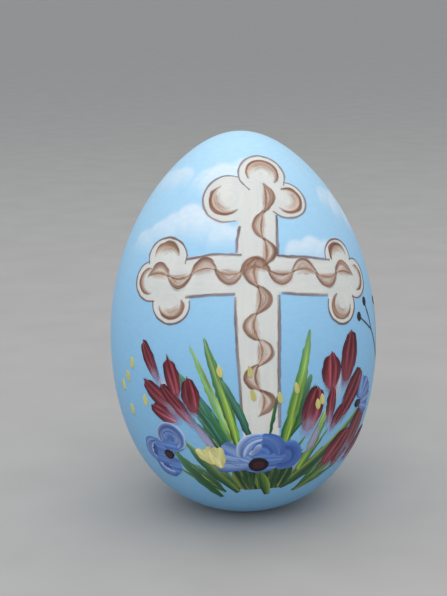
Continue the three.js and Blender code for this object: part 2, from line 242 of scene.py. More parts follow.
def stroke(film, rows, paint, seed, end=None, layer=1, cover=((0, 1), (1, 1)), round_tip=0.0,
           round_tail=0.0, fray=0.6, relief=0.06, wobble=0.06, jitter=0.7, streak=0.16, ragged=0.0,
           turn=1.0, soft=0.0):
    """One brush stroke. -1 is the left of its way and 1 the right, seen from outside."""
    line, width, along = spline(rows)
    length = along[-1]
    columns = max(5, int(width.max() / STEP_ACROSS) + 2)
    across = np.linspace(-1, 1, columns)
    ahead = np.gradient(line, axis=0)
    ahead /= np.linalg.norm(ahead, axis=1, keepdims=True)
    side = np.cross(ahead, normals(line))
    half = width / 2
    for rounding, distance in ((round_tip, along), (round_tail, length - along)):
        if rounding:
            inside = np.clip(distance / rounding, 0.0, 1)
            half = half * np.sqrt(np.clip(1 - (1 - inside) ** 2, 0.02, 1))
    edge = [noise(along / 1.3, side_seed, seed) - 0.5 for side_seed in (3.5, 7.5)]
    edges = np.where(across < 0, edge[0][:, None], edge[1][:, None])
    offset = across * half[:, None] + edges * wobble * np.abs(across) ** 3 * 2
    points = line[:, None, :] + side[:, None, :] * offset[..., None]
    hairs = bristles(along[:, None], offset, seed)
    if ragged:
        tuft = (noise(across * 2.2 + 5, 0.5, seed) - 0.5) * 2 + (noise(across * 7, 1.5, seed) - 0.5)
        pull = tuft * ragged * np.exp(-along[:, None] / 1.2)
        points = points + ahead[:, None, :] * pull[..., None]
    points = snap(points)
    place = np.clip(across + (hairs - 0.5) * jitter, -1, 1)
    colour, solid = paint_across(paint, place)
    share = (along / length)[:, None] ** turn
    if end:
        end_colour, end_solid = paint_across(end, place)
        blend = np.clip(share + (hairs - 0.5) * 0.35 * share * (1 - share) * 4, 0, 1)
        colour = colour * (1 - blend[..., None]) + end_colour * blend[..., None]
        solid = solid * (1 - blend) + end_solid * blend
    colour = colour * (1 + (hairs - 0.5)[..., None] * streak * 2)
    solid = solid * np.interp(share, [stop[0] for stop in cover], [stop[1] for stop in cover])
    crisp = smoothstep((solid - fray * (hairs * 0.9 + 0.05)) / (1 - fray) + solid * 0.15)
    solid = crisp * (1 - soft) + solid * (1.15 - fray * hairs) * soft
    ends = np.minimum(along, length - along)[:, None]
    body = (1 - np.abs(across) ** 6) * smoothstep(ends / 0.5 + 0.15)
    ridge = 0.35 * np.exp(-(((np.abs(across) - 0.8) / 0.12) ** 2))
    proud = LAYER * layer + relief * body * (0.55 + 0.9 * (hairs - 0.3) + ridge)
    facing = normals(points)
    top = points + facing * proud[..., None]
    foot = points + facing * SKIRT
    shell = np.concatenate([foot[:, :1], top, foot[:, -1:]], axis=1)
    below = snap(shell)
    sunk = below + normals(below) * SKIRT
    shell = np.concatenate([sunk[:1], shell, sunk[-1:]], axis=0)
    colour = np.pad(colour, ((1, 1), (1, 1), (0, 0)), mode="edge")
    solid = np.pad(solid, 1, mode="edge")
    marks = np.stack(np.broadcast_arrays(along[:, None] + seed * 3.7, offset + seed * 1.3), axis=-1)
    marks = np.pad(marks, ((1, 1), (1, 1), (0, 0)), mode="edge")
    film.add(shell, grid_faces(*shell.shape[:2]), colour, solid, marks)


# ---- Materials ----


def shader(name, roughness):
    material = bpy.data.materials.new(name)
    material.use_nodes = True
    tree = material.node_tree
    principled = tree.nodes["Principled BSDF"]
    principled.inputs["Roughness"].default_value = roughness
    principled.inputs["Specular IOR Level"].default_value = 0.35
    return material, tree, principled


def node(tree, kind, **settings):
    made = tree.nodes.new(kind)
    for key, value in settings.items():
        setattr(made, key, value)
    return made


def object_place(tree):
    return node(tree, "ShaderNodeTexCoord").outputs["Object"]


def stretched(tree, place, scale):
    made = node(tree, "ShaderNodeMapping")
    made.inputs["Scale"].default_value = scale
    tree.links.new(place, made.inputs["Vector"])
    return made.outputs["Vector"]


def speckle(tree, place, scale, detail, **settings):
    made = node(tree, "ShaderNodeTexNoise", **settings)
    made.inputs["Scale"].default_value = scale
    made.inputs["Detail"].default_value = detail
    tree.links.new(place, made.inputs["Vector"])
    return made.outputs["Fac"]


def brush_marks(tree, lengthwise, crosswise):
    """Noise drawn out along the strokes, from the marks' own coordinates."""
    place = node(tree, "ShaderNodeUVMap", uv_map="marks").outputs["UV"]
    place = stretched(tree, place, (lengthwise / UV_SCALE, crosswise / UV_SCALE, 1))
    return speckle(tree, place, 1.0, 3.0, noise_dimensions="2D")


def ramp(tree, source, stops):
    made = node(tree, "ShaderNodeValToRGB")
    while len(made.color_ramp.elements) < len(stops):
        made.color_ramp.elements.new(0.5)
    for element, (place, value) in zip(made.color_ramp.elements, stops):
        element.position = place
        element.color = (value, value, value, 1)
    tree.links.new(source, made.inputs["Fac"])
    return made.outputs["Color"]


def multiply(tree, first, second):
    mix = node(tree, "ShaderNodeMix", data_type="RGBA", blend_type="MULTIPLY")
    mix.inputs["Factor"].default_value = 1.0
    tree.links.new(first, mix.inputs["A"])
    tree.links.new(second, mix.inputs["B"])
    return mix.outputs["Result"]


def bump(tree, source, strength, distance, normal):
    made = node(tree, "ShaderNodeBump")
    made.inputs["Strength"].default_value = strength
    made.inputs["Distance"].default_value = distance
    tree.links.new(source, made.inputs["Height"])
    tree.links.new(made.outputs["Normal"], normal)


def film_material(name, roughness, contrast):
    """Opaque paint with brush marks, which thins out where a stroke's cover falls."""
    material, tree, principled = shader(name, roughness)
    colour = node(tree, "ShaderNodeAttribute", attribute_name="paint")
    marks = brush_marks(tree, 0.35, 5.0)
    shades = ramp(tree, marks, [(0.25, 1 - contrast), (0.75, 1 + contrast * 0.6)])
    tree.links.new(multiply(tree, colour.outputs["Color"], shades), principled.inputs["Base Color"])
    cover = node(tree, "ShaderNodeAttribute", attribute_name="cover")
    tree.links.new(cover.outputs["Fac"], principled.inputs["Alpha"])
    bump(tree, marks, 0.25, 0.00004, principled.inputs["Normal"])
    return material


# ---- Paints, as sRGB colours ----

WOOD = (205, 170, 125)
WOOD_DARK = (176, 138, 96)
WOOD_LIGHT = (222, 190, 146)
CLOUD_WHITE = (234, 243, 251)
CREAM = (225, 225, 220)
CREAM_SHADE = (205, 210, 210)
VIOLET = (150, 145, 160)
OUTLINE_BROWN = (170, 140, 125)
LINER = (125, 110, 115)
UMBER = (140, 95, 75)
SIENNA = (170, 125, 100)
TAN = (210, 175, 155)
LIME = (165, 190, 75)
GRASS = (110, 155, 55)
LEAF = (75, 125, 50)
FOREST = (40, 90, 50)
DEEP_GREEN = (30, 60, 40)
TEAL = (50, 115, 110)
OLIVE = (130, 140, 65)
MIST_GREEN = (140, 190, 160)
RED_DARK = (80, 20, 30)
RED = (115, 35, 45)
PINK = (160, 80, 95)
PLUM = (65, 25, 40)
LILAC = (175, 170, 205)
HAZE = (220, 225, 240)
DEEP_BLUE = (50, 85, 150)
BLUE = (65, 100, 175)
SOFT_BLUE = (90, 125, 190)
PALE_BLUE = (145, 170, 215)
WHITE_BLUE = (195, 210, 235)
INK = (25, 15, 20)
YELLOW = (205, 200, 125)
PALE_YELLOW = (225, 220, 160)


def lathe(film, points, paint, cover):
    """A turned skin from rings of points, from the lowest up. Its first and last rings are closed in."""
    low = points[:1] * (0.001, 0.001, 1)
    high = points[-1:] * (0.001, 0.001, 1)
    points = np.concatenate([low, points, high])
    paint = np.pad(np.broadcast_to(paint, points[1:-1].shape), ((1, 1), (0, 0), (0, 0)), mode="edge")
    cover = np.pad(cover, ((1, 1), (0, 0)), mode="edge")
    index = np.arange(points.shape[0] * points.shape[1]).reshape(points.shape[:2])
    after = np.roll(index, -1, axis=1)
    corners = [index[:-1], after[:-1], after[1:], index[1:]]
    faces = np.stack(corners, axis=-1).reshape(-1, 4)
    film.add(points, faces, paint, cover, np.zeros(points.shape[:2] + (2,)))


# Puffs of cloud, as (azimuth, height, radius, strength): bright at their upper rim, fading down inside.
CLOUDS = [
    (-14, 88.5, 9, 0.8), (-30, 89, 6, 0.5), (-2, 90.5, 7, 0.6),
    (-52, 76, 6, 0.6), (-44, 78, 6, 0.7), (-35, 79, 7, 0.8), (-26, 78.5, 7, 0.8),
    (-64, 73.5, 5, 0.5), (-15, 76.5, 5, 0.7), (-10, 77, 4, 0.6),
    (-58, 89.5, 4.5, 0.6), (-70, 88, 5.5, 0.5), (-84, 87, 5, 0.4),
    (22, 72.5, 4.5, 0.7), (30, 72.5, 5, 0.8), (38, 71.5, 4.5, 0.7), (46, 72, 4, 0.5),
    (62, 83, 5, 0.5), (72, 80, 6.5, 0.7), (83, 76, 7, 0.7), (92, 73, 6.5, 0.5),
    (128, 70, 6.5, 0.6), (137, 73, 7, 0.7), (148, 70, 6, 0.6), (120, 67, 5, 0.5),
    (186, 81, 6.5, 0.6), (198, 83, 6.5, 0.7), (211, 80, 6, 0.5),
    (232, 64, 6.5, 0.6), (243, 67, 7, 0.7), (255, 64, 6, 0.6), (222, 61, 5, 0.4),
    (168, 60, 4.5, 0.4), (178, 62, 5, 0.4),
]


def cloud_cover(points):
    total = np.zeros(points.shape[:-1])
    for number, (azimuth, height, radius, strength) in enumerate(CLOUDS):
        centre, right, up = axes_at(azimuth, height)
        away = points - centre
        distance = np.linalg.norm(away, axis=-1)
        angle = np.arctan2(away @ right, away @ up)
        rim = radius * (0.88 + 0.2 * noise(angle * 2.2 + 9, 0.5, number + 40))
        inside = smoothstep((rim - distance) / (0.25 * radius))
        lift = smoothstep((away @ up) / radius * 0.75 + 0.5)
        total = np.maximum(total, strength * inside * lift)
    return total


def sky_material():
    material, tree, principled = shader("sky_paint", 0.5)
    cloud = node(tree, "ShaderNodeAttribute", attribute_name="cover")
    colour = node(tree, "ShaderNodeAttribute", attribute_name="paint")
    place = object_place(tree)
    wisps = speckle(tree, place, 260.0, 4.0)
    veil = node(tree, "ShaderNodeMath", operation="MULTIPLY")
    tree.links.new(cloud.outputs["Fac"], veil.inputs[0])
    tree.links.new(ramp(tree, wisps, [(0.3, 0.75), (0.65, 1.0)]), veil.inputs[1])
    white = node(tree, "ShaderNodeMix", data_type="RGBA")
    tree.links.new(veil.outputs["Value"], white.inputs["Factor"])
    tree.links.new(colour.outputs["Color"], white.inputs["A"])
    white.inputs["B"].default_value = (*linear(CLOUD_WHITE), 1)
    hairs = speckle(tree, stretched(tree, place, (0.35, 0.35, 1.0)), 1500.0, 3.0)
    shades = ramp(tree, hairs, [(0.3, 0.965), (0.7, 1.02)])
    tree.links.new(multiply(tree, white.outputs["Result"], shades), principled.inputs["Base Color"])
    bump(tree, hairs, 0.18, 0.00006, principled.inputs["Normal"])
    return material


# The coat's blue by height: partly its own gradient, partly painted top light higher up and painted shade
# towards the foot.
SKY_LOW_SHADED = (120, 175, 215)
SKY_MIDDLE = (145, 200, 240)
SKY_HIGH_LIT = (185, 225, 250)
SKY_TURN = 45  # the height of the middle colour
SKY_COLUMNS = 360
SKY_ROWS = 256
CORE_COLUMNS = 180
CORE_ROWS = 90


def turned_heights(low, rows):
    """Heights that lie closer together towards both ends, where the outline turns in."""
    rise = (1 - np.cos(np.linspace(0, 1, rows) ** 0.95 * math.pi)) / 2
    return low + (HEIGHT - 0.02 - low) * rise


def make_sky():
    film = Film()
    azimuths = np.linspace(-180, 180, SKY_COLUMNS + 1)[:-1]
    heights = np.concatenate([[COAT_EDGE] * 3, turned_heights(COAT_EDGE, SKY_ROWS)])
    prouds = np.zeros(len(heights))
    prouds[:3] = -COAT, -COAT * 0.5, -0.06
    points = on_egg(azimuths[None, :], heights[:, None], prouds[:, None])
    # Painted top light and shade: the blue is mixed by height, lighter towards the top and darker towards the
    # foot.
    shades = np.array([SKY_LOW_SHADED, SKY_MIDDLE, SKY_HIGH_LIT], float)
    sky_tint_and_painted_light = np.stack([np.interp(heights, [0, SKY_TURN, HEIGHT], shades[:, k]) for k in range(3)], axis=-1)
    lathe(film, points, sky_tint_and_painted_light[:, None, :], cloud_cover(points))
    return film.piece("ground_coat", sky_material(), ["sky_coat"])


def make_core():
    """The turned wood under the coat, with its flat foot. Only the foot and a narrow ring show."""
    film = Film()
    azimuths = np.linspace(-180, 180, CORE_COLUMNS + 1)[:-1]
    heights = turned_heights(0, CORE_ROWS)
    points = on_egg(azimuths[None, :], heights[:, None], -CORE_DEPTH)
    points[0, :, 2] = 0
    lathe(film, points, WOOD, np.ones(points.shape[:2]))
    return film.piece("turned_core", wood_material(), ["egg_core"])


def wood_material():
    material, tree, principled = shader("lime_wood", 0.65)
    grain = speckle(tree, stretched(tree, object_place(tree), (900, 900, 60)), 1.0, 6.0)
    tone = node(tree, "ShaderNodeValToRGB")
    tone.color_ramp.elements[0].color = (*linear(WOOD_DARK), 1)
    tone.color_ramp.elements[1].color = (*linear(WOOD_LIGHT), 1)
    tone.color_ramp.elements[0].position = 0.3
    tone.color_ramp.elements[1].position = 0.7
    tree.links.new(grain, tone.inputs["Fac"])
    tree.links.new(tone.outputs["Color"], principled.inputs["Base Color"])
    bump(tree, grain, 0.3, 0.00005, principled.inputs["Normal"])
    return material


# ---- The cross ----

# Buds at the ends, as (azimuth, height, half breadth, half height).
BUDS = {
    "top": (12, 91, 6, 6),
    "top_left": (-14, 86, 6.5, 6.5),
    "top_right": (24, 85, 5.5, 5),
    "left_upper": (-44, 72, 6, 5),
    "left_outer": (-50, 66, 6, 5),
    "left_lower": (-38, 61.5, 5.5, 5),
    "right_upper": (46, 70.5, 5, 4.5),
    "right_outer": (54, 64.5, 5.5, 5),
    "right_lower": (41, 59.5, 5, 5),
}
SHAFT = [(1, 28, 9), (0, 46, 10), (0, 62, 11), (2, 77, 10), (8, 90, 7)]
ARMS = [(-45, 66.5, 9), (-18, 69, 10), (6, 69, 9), (25, 67.5, 9.5), (50, 65, 8.5)]


def bud_distance(points, bud):
    """How far outside a bud each point is, and its direction and distance from the bud's middle."""
    azimuth, height, broad, tall = bud
    centre, right, up = axes_at(azimuth, height)
    away = points - centre
    x = away @ right
    y = away @ up
    return (np.hypot(x / broad, y / tall) - 1) * (broad + tall) / 2, np.arctan2(y, x), np.hypot(x, y)


def band_distance(points, rows):
    """How far outside a band each point is."""
    line, width, _ = spline(rows)
    best = np.full(points.shape[:-1], np.inf)
    for point, half in zip(line[::2], width[::2] / 2):
        best = np.minimum(best, np.linalg.norm(points - point, axis=-1) - half)
    return best


def cross_distance(points):
    """How far outside the cross each point is, and the brush marks of the part it is nearest."""
    height = points[..., 2]
    round_egg = np.arctan2(points[..., 0], -points[..., 1]) * radius_at(height)
    parts = [(band_distance(points, SHAFT), bristles(height, round_egg, 500)),
             (band_distance(points, ARMS), bristles(round_egg, height, 501))]
    for number, bud in enumerate(BUDS.values()):
        far, angle, reach = bud_distance(points, bud)
        parts.append((far, bristles(angle * 4, reach, 520 + number)))
    best, hairs = parts[0]
    for far, marks in parts[1:]:
        nearer = far < best
        best = np.where(nearer, far, best)
        hairs = np.where(nearer, marks, hairs)
    return best, hairs


def make_cross_field(material):
    """The cream field: one film, cut from a fine grid at its own edge."""
    # The grid covers the cross, and is finer near the top of the egg.
    azimuths = np.arange(-64, 68, 0.5)
    heights = np.concatenate([np.arange(26, 84, 0.3), np.arange(84, 97.2, 0.2)])
    a, h = np.meshgrid(azimuths, heights)
    points = on_egg(a, h)
    far, hairs = cross_distance(points)
    slope_h, slope_a = np.gradient(far, heights, azimuths)
    stretch_a = radius_at(h) * math.radians(1)
    stretch_h = 1 / outward(h)[0]
    steep = (slope_a / stretch_a) ** 2 + (slope_h / stretch_h) ** 2
    outside = far >= 0
    a = np.where(outside, a - far * slope_a / stretch_a**2 / steep, a)
    h = np.where(outside, h - far * slope_h / stretch_h**2 / steep, h)
    faces = grid_faces(*far.shape)
    kept = faces[(far.ravel()[faces] < 0).any(axis=1)]
    used, index = np.unique(kept, return_inverse=True)
    far, hairs, a, h = (values.ravel()[used] for values in (far, hairs, a, h))
    depth = np.clip(-far, 0, None)
    proud = LAYER * 0.5 + 0.05 * smoothstep(depth / 0.5) * (0.6 + 0.8 * hairs)
    proud = np.where(far >= 0, SKIRT * 0.5, proud)
    points = on_egg(a, h, proud)
    worn = noise(a / 5, h / 4, 71)
    shade = np.clip(0.25 + 0.7 * (hairs - 0.5) + 0.5 * (worn - 0.5), 0, 1)[..., None]
    colour = np.array(CREAM) * (1 - shade) + np.array(CREAM_SHADE) * shade
    film = Film()
    film.add(points, index.reshape(kept.shape), colour, np.ones(len(a)), np.stack([a, h], axis=-1))
    film.piece("cross_cream_field", material, ["cross_field"])


# ---- Places and the rows of strokes, worked out from a few dimensions ----

ARC_STEPS = 8
EDGE_STEPS = 4
STROKE_STEPS = 5
CURL_STEPS = 6


def beside(azimuth, height, right, up):
    """The place so many millimetres to the right of another, and so many above it."""
    centre, rightward, upward = axes_at(azimuth, height)
    point = snap(centre + rightward * right + upward * up)
    return math.degrees(math.atan2(point[0], -point[1])), float(point[2])


def polar(azimuth, height, reach, degrees):
    """The place so many millimetres from another, in a direction that turns from right towards up."""
    turn = math.radians(degrees)
    return beside(azimuth, height, reach * math.cos(turn), reach * math.sin(turn))


def arc(oval, size, start, end, width, swell=0.4):
    """Part of an oval's edge, or of a smaller oval's. 0 degrees is its right and 90 its top."""
    azimuth, height, broad, tall = oval
    rows = []
    for share in np.linspace(0, 1, ARC_STEPS + 1):
        turn = math.radians(start + (end - start) * share)
        place = beside(azimuth, height, broad * size * math.cos(turn), tall * size * math.sin(turn))
        rows.append((*place, width * (1 - swell + swell * math.sin(math.pi * share))))
    return rows


def band_at(band, column, value):
    """A band's middle and width at one of its azimuths (column 0) or heights (column 1)."""
    columns = np.array(band, float).T
    return [float(np.interp(value, columns[column], values)) for values in columns]


def shaft_edge(side, start, end, width):
    """The shaft's left (-1) or right (1) edge, from one height to another."""
    rows = []
    for value in np.linspace(start, end, EDGE_STEPS + 1):
        azimuth, height, broad = band_at(SHAFT, 1, value)
        rows.append((*beside(azimuth, height, side * broad / 2, 0), width))
    return rows


def arm_edge(side, start, end, width):
    """The arms' lower (-1) or upper (1) edge, from one azimuth to another."""
    rows = []
    for value in np.linspace(start, end, EDGE_STEPS + 1):
        azimuth, height, tall = band_at(ARMS, 0, value)
        rows.append((*beside(azimuth, height, 0, side * tall / 2), width))
    return rows


def between(first, last, share):
    """The place at a share of the way from one to another. A share over 1 goes beyond."""
    return tuple(low + (high - low) * share for low, high in zip(first, last))


def drawn(tip, root, width, bow=0.0, swell=(0.08, 0.84)):
    """A stroke drawn from its tip, which swells by part of a half wave and bows to the right."""
    rows = []
    for share in np.linspace(0, 1, STROKE_STEPS + 1):
        azimuth, height = between(tip, root, share)
        place = beside(azimuth, height, bow * math.sin(math.pi * share), 0)
        rows.append((*place, width * math.sin(math.pi * (swell[0] + (swell[1] - swell[0]) * share))))
    return rows


PETAL_FULLNESS = 1.2


def petal_rows(tip, base, width):
    return drawn(tip, base, width * PETAL_FULLNESS, swell=(0.18, 0.88))


def ray(centre, near, far, degrees, width):
    """A petal that points straight away from its flower's eye."""
    return drawn(polar(*centre, far, degrees), polar(*centre, near, degrees), width, swell=(0.25, 0.85))


# ---- Brushes: each says how a stroke's paint is loaded and how it lies ----


def pencil(colour, end=None, covers=(0.5, 0.95, 0.6), layer=3):
    """A thin soft line."""

    def across(shade):
        return [(-1, shade, 0), (-0.35, shade, 0.9), (0.35, shade, 0.9), (1, shade, 0)]

    cover = ((0, covers[0]), (0.15, covers[1]), (0.8, covers[1]), (1, covers[2]))
    return dict(paint=across(colour), end=across(end or colour), cover=cover, layer=layer, fray=0.42,
                relief=0.012, jitter=0.4, wobble=0.2, streak=0.2, soft=0.6)


def loaded(side="left", strength=1.0):
    """A flat brush loaded with brown at one corner, which washes out towards the other."""
    stops = [(-1, SIENNA, 0.1), (-0.8, UMBER, 0.75 * strength), (-0.6, UMBER, strength),
             (-0.25, SIENNA, 0.8 * strength), (0.25, TAN, 0.62 * strength), (1, TAN, 0.02)]
    if side == "right":
        stops = [(-place, colour, cover) for place, colour, cover in reversed(stops)]
    return dict(paint=stops, end=stops, layer=4, fray=0.6, relief=0.02, jitter=0.7, wobble=0.3,
                streak=0.26, soft=0.85, cover=((0, 0.5), (0.15, 1), (0.8, 1), (1, 0.4)))


def wash(colour, strength, layer=3):
    """Thinned paint, streaky and soft at its edges."""
    across = [(-1, colour, 0), (-0.4, colour, strength), (0.4, colour, strength), (1, colour, 0)]
    return dict(paint=across, end=across, layer=layer, fray=0.55, relief=0.01, jitter=0.8, wobble=0.4,
                streak=0.16, soft=0.8, cover=((0, 0.1), (0.3, 1), (0.7, 1), (1, 0.1)))


def blade(right, middle, left, tip=None, tip_cover=0.25, layer=3):
    """Grass drawn down from its tip. The colours are those of its right, middle and left."""
    body = [(-1, right, 0.8), (-0.7, right, 1), (0, middle, 1), (0.7, left, 1), (1, left, 0.8)]
    pale = flat(tip or middle, 1)
    return dict(paint=pale, end=body, turn=0.3, layer=layer, fray=0.5, relief=0.035, jitter=1.1,
                cover=((0, tip_cover), (0.2, 0.7), (0.42, 1), (1, 1)), wobble=0.24, round_tip=1.2,
                streak=0.34)


def petal(base, layer=6):
    """A long red petal pressed down at its ragged tip and drawn to its base, where it fades."""
    full = [(-1, PLUM, 0.8), (-0.84, RED_DARK, 1), (-0.58, RED, 1), (-0.4, PINK, 1), (-0.24, RED, 1),
            (-0.04, RED_DARK, 1), (0.16, RED, 1), (0.32, PINK, 1), (0.48, RED, 1),
            (0.8, RED_DARK, 1), (1, PLUM, 0.8)]
    faded = [(-1, base, 0.42), (-0.4, PINK, 0.7), (0.1, base, 0.7), (0.5, PINK, 0.7), (1, base, 0.35)]
    return dict(paint=full, end=faded, turn=2.6, layer=layer, fray=0.5, relief=0.045, jitter=0.42,
                ragged=1.1, round_tip=0.5, round_tail=0.6, wobble=0.2, streak=0.34,
                cover=((0, 0.85), (0.12, 1), (0.8, 1), (1, 0.7)))


def ribbon(*colours, layer=6, fray=0.3):
    """A wide brush of several colours, from its left to its right."""
    places = np.linspace(-1, 1, len(colours))
    paint = [(float(place), colour, 1) for place, colour in zip(places, colours)]
    return dict(paint=paint, layer=layer, fray=fray, relief=0.03, jitter=0.85, wobble=0.3, streak=0.22,
                round_tip=0.6, round_tail=0.6)


def dab(colour, strength=1.0, layer=8):
    """One touch of a small brush."""
    return dict(paint=flat(colour, strength), layer=layer, fray=0.35, relief=0.04, jitter=0.3,
                wobble=0.2, streak=0.1, round_tip=0.6, round_tail=0.6)


def oval(azimuth, height, broad, tall):
    """The rows of a short level stroke that fills an oval, with a brush round at both ends."""
    reach = math.degrees(broad / 2 / radius_at(height))
    return [(azimuth - reach, height, tall), (azimuth, height, tall), (azimuth + reach, height, tall)]


def round_dab(colour, broad, layer):
    """A touch whose ends are as round as the oval it fills."""
    return {**dab(colour, layer=layer), "round_tip": broad / 2, "round_tail": broad / 2, "relief": 0.06}


# Roughness, and how strongly the brush marks shade the colour.
PAINTS = {
    "umber_paint": (0.6, 0.06),
    "sienna_paint": (0.6, 0.08),
    "grass_paint": (0.5, 0.14),
    "forest_paint": (0.5, 0.16),
    "crimson_paint": (0.48, 0.14),
    "blue_paint": (0.5, 0.1),
    "ink_paint": (0.42, 0.1),
    "yellow_paint": (0.52, 0.06),
}
materials = {slot: film_material(slot, *look) for slot, look in PAINTS.items()}
seeds = itertools.count(11, 7)


def painted(node_name, slot, strokes):
    """One named piece: its strokes, in the order in which they are laid."""
    film = Film()
    for brush, rows in strokes:
        stroke(film, rows, seed=next(seeds), **brush)
    return film.piece(f"{node_name}_brushwork", materials[slot], [node_name])


# ---- The cross's outlines, scrolls and crescents ----

LINE = 0.7  # an outline's width
SHADED = 1.3  # the shaft's lower right edge is this many times as wide
ECHO = 0.6  # the second, fainter line's width, as a share
ECHO_PLACE = 0.93  # how far out from the band's middle it runs, as a share

# Where each bud's outline starts and ends, in degrees, for the three ends of the cross.
BUD_ARCS = {
    "top": {"top": (225, -36), "top_left": (70, 290), "top_right": (80, -150)},
    "left": {"left_upper": (207, -10), "left_outer": (110, 290), "left_lower": (15, -182)},
    "right": {"right_upper": (175, -22), "right_outer": (92, -125), "right_lower": (155, 376)},
}

# Each side line's edge, its side, and the heights or azimuths it runs between.
EDGES = {
    "upper_left": (shaft_edge, -1, 80, 74),
    "upper_right": (shaft_edge, 1, 82, 73),
    "left_top": (arm_edge, 1, -33, -6),
    "left_base": (arm_edge, -1, -31, -9),
    "right_top": (arm_edge, 1, 11, 39),
    "right_base": (arm_edge, -1, 11, 33),
    "lower_left": (shaft_edge, -1, 64, 31),
    "lower_right": (shaft_edge, 1, 64, 31),
}


def make_outlines():
    dark = pencil(LINER, VIOLET, (0.6, 1, 0.9))
    faint = pencil(OUTLINE_BROWN, None, (0.3, 0.6, 0.3))
    for end, arcs in BUD_ARCS.items():
        first, last = (VIOLET, OUTLINE_BROWN) if end == "top" else (LINER, UMBER)
        brush = pencil(first, last, (0.7, 0.95, 0.8))
        strokes = [(brush, arc(BUDS[bud], 1, *turns, LINE)) for bud, turns in arcs.items()]
        painted(f"outline_{end}_buds", "umber_paint", strokes)
    for name, (edge, side, start, end) in EDGES.items():
        width = LINE * SHADED if name == "lower_right" else LINE
        strokes = [(dark, edge(side, start, end, width)),
                   (faint, edge(side * ECHO_PLACE, start, end, LINE * ECHO))]
        painted(f"outline_{name}", "umber_paint", strokes)


# The scrollwork is one wave along the arms, and one down the shaft in two parts.
ARM_PITCH = 23  # degrees
ARM_SWING = 2.4  # millimetres
ARM_LIFT = 0.8  # how far its middle runs above the arms' own
CURL = 2.6  # a curl's greatest width
OVERRUN = 1.1  # each curl runs on past the next crossing
SHAFT_SWING = 4.5  # degrees
# A crest on the left, the pitch, and a shift to the right in degrees.
SHAFT_WAVES = {"lower": (69.5, 12.5, 0), "upper": (80, 12, 3)}


def arm_scroll(azimuth, swing):
    wave = math.cos(math.tau * azimuth / ARM_PITCH)
    return azimuth, band_at(ARMS, 0, azimuth)[1] + ARM_LIFT + ARM_SWING * swing * wave


def shaft_scroll(height, swing, part="lower"):
    crest, pitch, shift = SHAFT_WAVES[part]
    wave = math.cos(math.tau * (crest - height) / pitch)
    return band_at(SHAFT, 1, height)[0] + shift - SHAFT_SWING * swing * wave, height


def half_wave(place_at, start, end, outer):
    """One curl of scrollwork: a wash inside it, a loaded stroke round it, and a thin echo."""

    def rows(swing, broad):
        shares = np.linspace(0, 1, CURL_STEPS + 1)
        swell = 0.25 + 0.75 * np.sin(np.pi * shares)
        return [(*place_at(start + (end - start) * share, swing), broad * part)
                for share, part in zip(shares, swell)]

    return [(wash(TAN, 0.5), rows(0.3, CURL)),
            (loaded(outer, strength=0.85), rows(1, CURL)),
            (pencil(SIENNA, None, (0.3, 0.8, 0.3), layer=4), rows(0.35, 0.6))]


def curls(place_at, start, step, outers):
    """A run of half waves, given the dark side of each in turn."""
    strokes = []
    for number, outer in enumerate(outers):
        strokes += half_wave(place_at, start + step * number, start + step * (number + OVERRUN), outer)
    return strokes


def upper_scroll(height, swing):
    return shaft_scroll(height, swing, "upper")


def make_scrolls():
    crest, pitch, _ = SHAFT_WAVES["lower"]
    shaft = curls(shaft_scroll, crest + pitch / 4, -pitch / 2, ("right", "left") * 3)
    crest, pitch, _ = SHAFT_WAVES["upper"]
    above = curls(upper_scroll, crest + 3 * pitch / 4, -pitch / 2, ("left", "right", "left"))
    painted("scroll_shaft", "sienna_paint", above + shaft)
    for name, way, outers, turns in (("left", -1, ("right", "left"), (100, 280)),
                                     ("right", 1, ("left", "right"), (80, -100))):
        quarter = way * ARM_PITCH / 4
        first = half_wave(arm_scroll, -2 * way, 1.2 * quarter, outers[0])
        run = curls(arm_scroll, quarter, 2 * quarter, outers[::-1] * 2)
        hook = (loaded(outers[0]), arc(BUDS[f"{name}_outer"], CRESCENT_SIZE, *turns, 2, swell=0.7))
        painted(f"scroll_{name}", "sienna_paint", first + run + [hook])


CRESCENT_SIZE = 0.6  # as a share of its bud

# Where each bud's crescent starts and ends, in degrees. It is dark on its outer side.
CRESCENTS = {
    "top": (195, -50),
    "top_left": (-50, -240),
    "top_right": (100, -145),
    "left_upper": (185, 15),
    "left_lower": (25, -165),
    "right_upper": (185, 0),
    "right_lower": (-10, -245),
}


def make_crescents():
    for bud, (start, end) in CRESCENTS.items():
        painted(f"{bud}_bud_crescent", "sienna_paint", [
            (wash(TAN, 0.4), arc(BUDS[bud], 0.4, start - 20, end + 20, 2.2)),
            (loaded(), arc(BUDS[bud], CRESCENT_SIZE, start, end, 2.4, swell=0.7)),
        ])


# ---- The meadow: tip, root, width, bow, layer, and the colours of its right, middle and left ----

